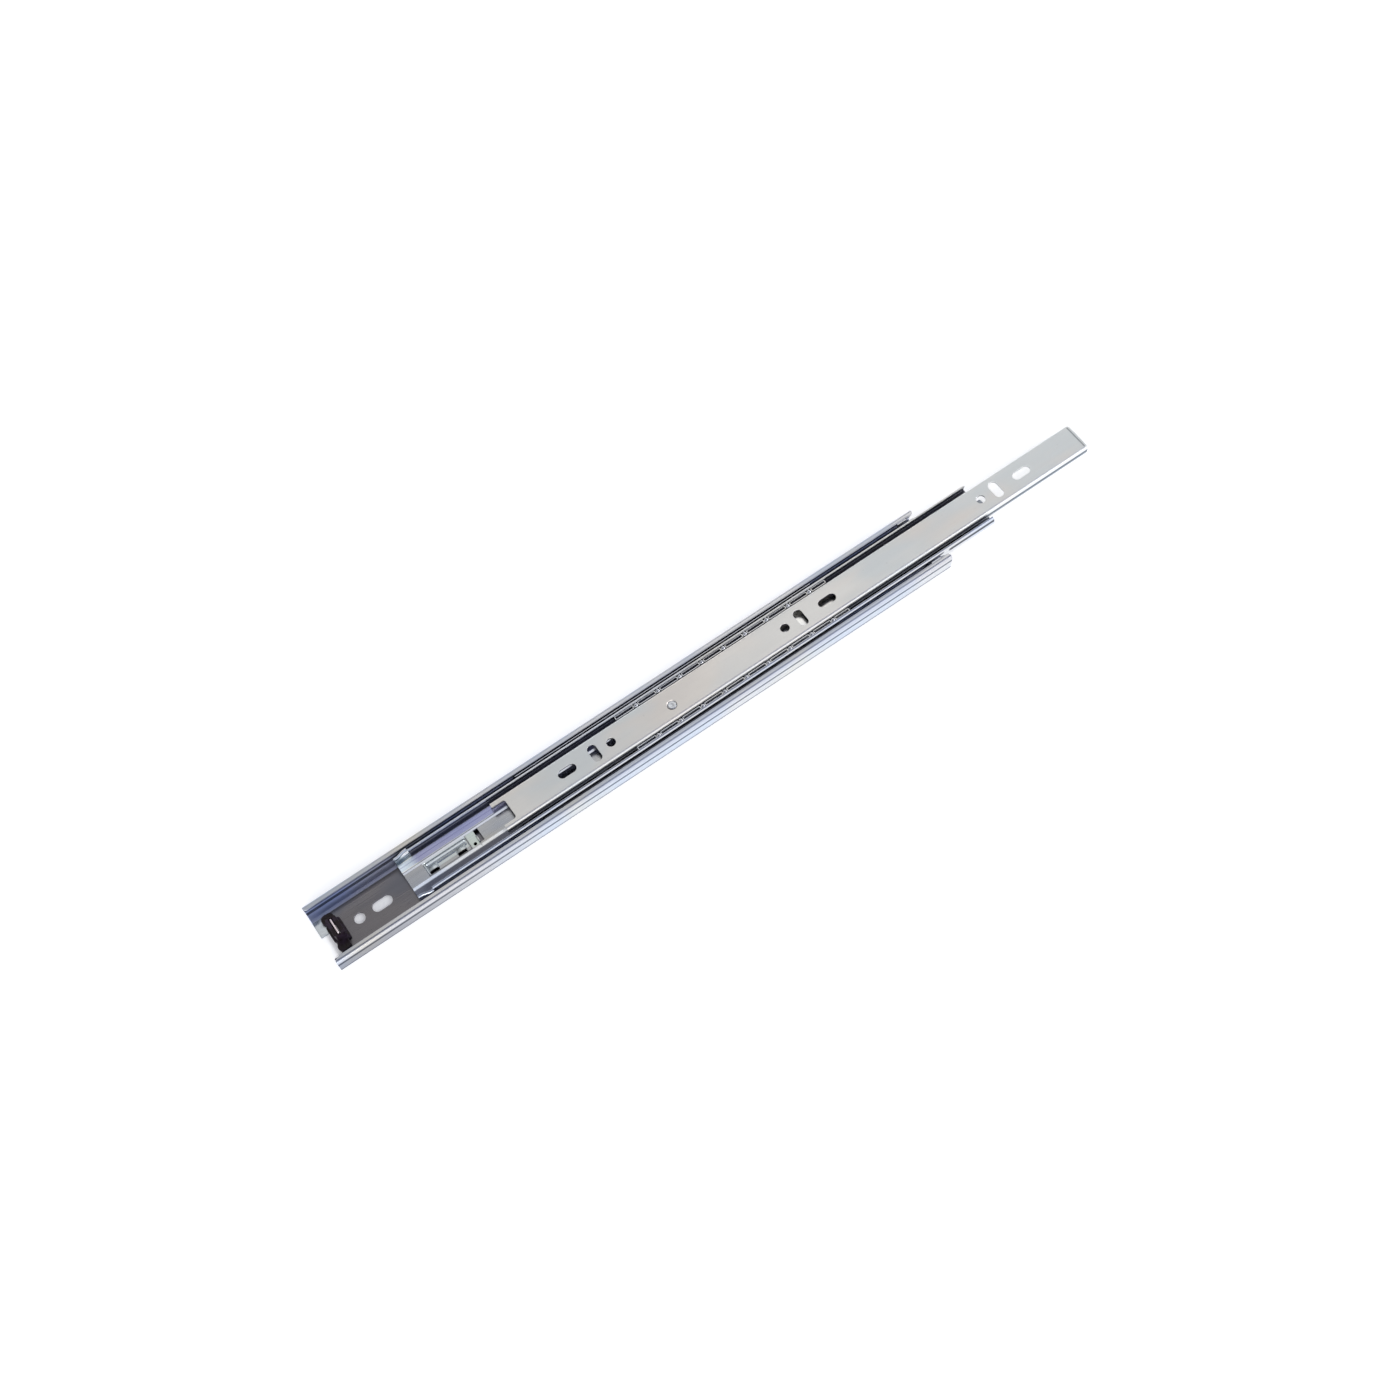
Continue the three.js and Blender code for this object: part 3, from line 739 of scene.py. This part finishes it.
clip = [(fx - 4.6, 7), (fx + 1, 7), (fx + 1, 10.4), (fx - 0.8, 10.4)]
carve(inner, [bar_y(clip, 9.6, 14), bar_y(clip, -14, -9.6)])
keep(inner, "inner_rail", "drawer_side", INNER_ZINC, ["inner_member"])


# ------------------------------------------------------------------ ball retainers
JOGGLE = 1.4                      # how far the outer retainer's upper edge steps inwards, clear of the lip
BEND = 0.7
PAD = {"width": 2.5, "corner": 0.8, "z": 10.9, "gap": 3.2}
# a pad's section, as (height, growth of its outline), round from its lower rim and back under it
PAD_SECTION = [(-0.2, -0.06), (-0.12, 0), (0.12, 0), (0.2, -0.06), (0.2, -0.3), (0.1, -0.38), (-0.2, -0.38)]


def outer_cage_path(x, side):
    web, y = OUTER_CAGE["web"], OUTER_BALL["y"]
    return [(0, web), (y, web, BEND), (y, 9.3, BEND),
            (y - JOGGLE, 10.4, BEND), (y - JOGGLE, OUTER_CAGE["top"])]


def inner_cage_path(x, side):
    web, y = INNER_CAGE["web"], INNER_BALL["y"]
    return [(0, web), (y, web, BEND), (y, INNER_CAGE["top"])]


def centres(ball):
    return [ball["first"] + i * ball["pitch"] for i in range(ball["count"])]


def windows(ball, grow):
    """Cutters for the round windows that hold the balls."""
    return [bar_y(circle(x, ball["z"], ball["r"] + grow, 36), side * ball["y"] - 1, side * ball["y"] + 1)
            for x in centres(ball) for side in (1, -1)]


def pad(x0, x1, y):
    """A flat oblong frame, where the strip is folded between two balls."""
    x, length = (x0 + x1) / 2, x1 - x0
    r = min(PAD["corner"], length / 2 - 0.05)
    hx, hy = length / 2 - r, PAD["width"] / 2 - r
    corners = [(x + hx, y + hy), (x - hx, y + hy), (x - hx, y - hy), (x + hx, y - hy)]
    rings = [[(a, b, PAD["z"] + dz) for a, b in round_quad(corners, r + grow, 5)] for dz, grow in PAD_SECTION]
    n, k = len(rings[0]), len(rings)
    faces = [(i * n + j, i * n + (j + 1) % n, (i + 1) % k * n + (j + 1) % n, (i + 1) % k * n + j)
             for i in range(k) for j in range(n)]
    return thing("pad", [p for ring in rings for p in ring], faces)


outer_cage = member("outer_cage", OUTER_CAGE["x0"], OUTER_CAGE["x1"], outer_cage_path, CAGE_SHEET)
carve(outer_cage, windows(OUTER_BALL, -0.55))
keep(outer_cage, "outer_cage", "outer_cage", CAGE_STEEL, ["outer_ball_retainer"])

inner_cage = member("inner_cage", INNER_CAGE["x0"], INNER_CAGE["x1"], inner_cage_path, CAGE_SHEET)
carve(inner_cage, windows(INNER_BALL, 0.1))
gap = PAD["gap"] / 2
pad_starts = [INNER_CAGE["x0"]] + [x + gap for x in centres(INNER_BALL)]
pad_ends = [x - gap for x in centres(INNER_BALL)] + [INNER_CAGE["x1"]]
pads, posts = [], []
for x0, x1 in zip(pad_starts, pad_ends):
    for y in (INNER_BALL["y"], -INNER_BALL["y"]):
        pads.append(pad(x0, x1, y))
        for low, high in ((x0 + 0.12, x0 + 0.6), (x1 - 0.6, x1 - 0.12)):
            posts.append(block(low, high, y - CAGE_SHEET / 2, y + CAGE_SHEET / 2, 9.0, PAD["z"]))
weld(inner_cage, pads)
weld(inner_cage, posts)
keep(inner_cage, "inner_cage", "inner_cage", CAGE_STEEL, ["inner_ball_retainer"])


# ------------------------------------------------------------------ balls
def sphere(r, x, y, z, rings=20, segments=32):
    angles = [math.pi * i / rings for i in range(rings + 1)]
    return turned("ball", [(r * math.sin(a), z + r * math.cos(a)) for a in angles], x, y, segments)


for row, ball, steel in (("outer", OUTER_BALL, SHADED_BALL_STEEL), ("inner", INNER_BALL, BALL_STEEL)):
    for letter, side in (("a", 1), ("b", -1)):
        for i, x in enumerate(centres(ball)):
            number = f"{letter}{i + 1:02d}"
            keep(sphere(ball["r"], x, side * ball["y"], ball["z"]), f"{row}_bearing_{number}", f"{row}_cage",
                 steel, [f"{row}_ball_{number}"], sharp=80)


# ------------------------------------------------------------------ rear bumper
FOOT = (1.45, 3.5)                # low and high z of its foot
BOSS_TOP = 10.8

bumper = prism(round_quad([(13.9, 6.4), (7.2, 4.6), (7.2, -4.6), (13.9, -6.4)], 1.8), *FOOT)
for side in (1, -1):
    weld(bumper, [block(6.4, 13.4, *sorted((side * 5, side * 11)), *FOOT)])
    weld(bumper, [round_bar(8.6, side * 10.3, 3.5, *FOOT)])
    weld(bumper, [round_bar(10.4, side * 10.6, 3.0, *FOOT)])
boss = round_quad([(12.8, 5.3), (8.6, 5.3), (8.6, -5.3), (12.8, -5.3)], 1.4)
weld(bumper, [prism(boss, FOOT[0], BOSS_TOP)])
# pocket for the tab, wider above the foot
carve(bumper, [block(9.3, 11.7, -6.0, 6.0, 3.6, 20)])
carve(bumper, [block(9.6, 11.3, -5.9, 5.9, 0.5, 5)])
soften(bumper, 0.22, 4)
keep(bumper, "rear_bumper_moulding", "cabinet_side", RUBBER, ["rear_bumper"], sharp=60)


# ------------------------------------------------------------------ release lever and rivet
RIB = (8.8, 9.6)                  # low and high z of the lever's ribs
RIVET = [(0, 8.4), (2.3, 8.4), (2.5, 8.6), (2.5, 8.9), (2.4, 9.0), (1.5, 9.05), (1.5, 12.2), (2.2, 12.25),
         (2.62, 12.38), (2.7, 12.5), (2.55, 12.62), (2.1, 12.68), (1.3, 12.66), (0.7, 12.52), (0, 12.48)]

lever = prism([*arc(RIVET_X, RIVET_Y, 4.2, 111, 249, 16), (262, -4.9), (284, -5.4), (292, -7.0),
               *arc(298.5, -5.2, 2.0, -90, 90, 10), (290, -2.4), (282, -0.4), (262, 1.7)], 9.3, 11.1)
carve(lever, [round_bar(RIVET_X, RIVET_Y, 1.8, 0, 20)])
weld(lever, [prism([(262, -3.6), (283, -4.2), (283, -3.0), (262, -2.2)], *RIB),
             prism([(259, -0.9), (281, -1.9), (281, -1.0), (259, 0.3)], *RIB)])
bevel(lever, 0.25, 3)
keep(lever, "release_lever_moulding", "lever", PLASTIC, ["release_lever"], sharp=40)
keep(turned("rivet", RIVET, RIVET_X, RIVET_Y, 48), "lever_rivet_head", "drawer_side",
     RIVET_STEEL, ["lever_rivet"], sharp=50)


# ------------------------------------------------------------------ stage and light (metres)
FLOOR_HALF, FLOOR_Z = 6.0, -0.0003


def floor_material():
    g = Graph("studio_floor")
    speck = g.noise(40, detail=2)
    g.feed("Base Color", g.mix(g.remap(speck, 0.3, 0.7, 0, 1), (0.93, 0.93, 0.93), (0.96, 0.96, 0.96)))
    g.feed("Roughness", 0.9)
    g.feed("Specular IOR Level", 0.1)
    # it glows a little, standing in for light from all round, and less under the outer member: a painted
    # shadow, seen through the holes in the web
    x, y, z = g.split()
    out_x = g.remap(g.math("ABSOLUTE", x, 0), 0.2205, 0.2235, 0, 1)
    out_y = g.remap(g.math("ABSOLUTE", y, 0), 0.0195, 0.0215, 0, 1)
    g.feed("Emission Strength", g.remap(g.math("MAXIMUM", out_x, out_y), 0, 1, 0.16, 0.52, False))
    g.feed("Emission Color", (1, 1, 1, 1))
    return g.material


mesh = bpy.data.meshes.new("studio_floor")
corners = [(x * FLOOR_HALF, y * FLOOR_HALF, FLOOR_Z) for x, y in ((-1, -1), (1, -1), (1, 1), (-1, 1))]
mesh.from_pydata(corners, [], [(0, 1, 2, 3)])
floor = bpy.data.objects.new("studio_floor", mesh)
bpy.context.scene.collection.objects.link(floor)
mesh.materials.append(floor_material())


def area(name, at, target, size, energy):
    data = bpy.data.lights.new(name, "AREA")
    data.shape, data.size, data.size_y, data.energy = "RECTANGLE", size[0], size[1], energy
    light = bpy.data.objects.new(name, data)
    light.location = at
    light.rotation_mode = "QUATERNION"
    light.rotation_quaternion = (Vector(target) - Vector(at)).to_track_quat("-Z", "Y")
    bpy.context.scene.collection.objects.link(light)


area("soft_left", (-0.9, -1.5, 0.9), (0.0, 0, 0), (1.2, 0.7), 9)
area("soft_right", (1.5, -0.9, 1.0), (0.1, 0, 0), (1.0, 0.8), 9)

# the studio round the object: pale near the horizon, dark blue overhead, and pale cards to each side of that.
# SKY is the colour at each angle from straight up, over towards +Y.
SKY = [
    (-88, (0.85, 0.85, 0.88)), (-42, (0.85, 0.86, 0.90)), (-33, (0.50, 0.53, 0.64)), (-24, (0.27, 0.29, 0.38)),
    (-12, (0.15, 0.17, 0.26)), (4, (0.15, 0.16, 0.21)), (14, (0.36, 0.36, 0.38)), (21, (0.86, 0.86, 0.85)),
    (31, (0.92, 0.92, 0.90)), (38, (0.24, 0.25, 0.28)), (54, (0.20, 0.21, 0.24)), (61, (0.92, 0.93, 0.96)),
    (88, (1.0, 1.0, 1.0)),
]
HORIZON = (0.80, 0.81, 0.84, 1)
SKY_STRENGTH = 1.38
world = bpy.data.worlds.new("studio")
bpy.context.scene.world = world
world.use_nodes = True
tree = world.node_tree
tree.nodes.clear()


def sky(kind, *inputs, **values):
    """Adds a node, feeds its inputs with sockets or numbers, and returns its first output."""
    node = tree.nodes.new(kind)
    for key, value in values.items():
        setattr(node, key, value)
    for socket, value in zip(node.inputs, inputs):
        if isinstance(value, bpy.types.NodeSocket):
            tree.links.new(value, socket)
        else:
            socket.default_value = value
    return node.outputs[0]


split = tree.nodes.new("ShaderNodeSeparateXYZ")
tree.links.new(tree.nodes.new("ShaderNodeTexCoord").outputs["Generated"], split.inputs[0])
dir_x, dir_y, dir_z = split.outputs
lean = sky("ShaderNodeMath", dir_y, dir_z, operation="ARCTAN2")
level = sky("ShaderNodeMapRange", lean, math.radians(-90), math.radians(90), 0.0, 1.0)
ramp = tree.nodes.new("ShaderNodeValToRGB")
tree.links.new(level, ramp.inputs[0])
points = ramp.color_ramp.elements
for i, (angle, colour) in enumerate(SKY):
    stop = points[i] if i < 2 else points.new((angle + 90) / 180)
    stop.position, stop.color = (angle + 90) / 180, (*colour, 1)
# the sky is dimmer towards the rear, except near the horizon
along = sky("ShaderNodeMapRange", dir_x, -0.08, 0.10, 0.48, 1.0, interpolation_type="SMOOTHSTEP")
low = sky("ShaderNodeMapRange", dir_z, 0.25, 0.5, 1.0, 0.0)
gain = sky("ShaderNodeMath", along, low, operation="MAXIMUM")
pale = tree.nodes.new("ShaderNodeMix")
pale.data_type = "RGBA"
colours = {s.identifier: s for s in pale.inputs}
tree.links.new(low, colours["Factor_Float"])
tree.links.new(ramp.outputs[0], colours["A_Color"])
colours["B_Color"].default_value = HORIZON
back = tree.nodes.new("ShaderNodeBackground")
tree.links.new(next(s for s in pale.outputs if s.identifier == "Result_Color"), back.inputs["Color"])
tree.links.new(sky("ShaderNodeMath", gain, SKY_STRENGTH, operation="MULTIPLY"), back.inputs["Strength"])
world_out = tree.nodes.new("ShaderNodeOutputWorld")
tree.links.new(back.outputs[0], world_out.inputs["Surface"])

# ------------------------------------------------------------------ camera (metres and degrees)
LENS, SENSOR = 55.60365, 36.0
PLACE = (-0.183997, -0.606538, 1.166821)
TURN, TIP, ROLL = -20.8026, 28.9634, -14.9946
camera_data = bpy.data.cameras.new("camera")
camera_data.lens, camera_data.sensor_width = LENS, SENSOR
camera_data.clip_start, camera_data.clip_end = 0.01, 50
camera = bpy.data.objects.new("camera", camera_data)
turn, tip, roll = (math.radians(a) for a in (TURN, TIP, ROLL))
camera.matrix_world = (Matrix.Translation(PLACE) @ Matrix.Rotation(turn, 4, "Z")
                       @ Matrix.Rotation(tip, 4, "X") @ Matrix.Rotation(roll, 4, "Z"))
bpy.context.scene.collection.objects.link(camera)
bpy.context.scene.camera = camera
bpy.context.scene.view_settings.view_transform = "Standard"
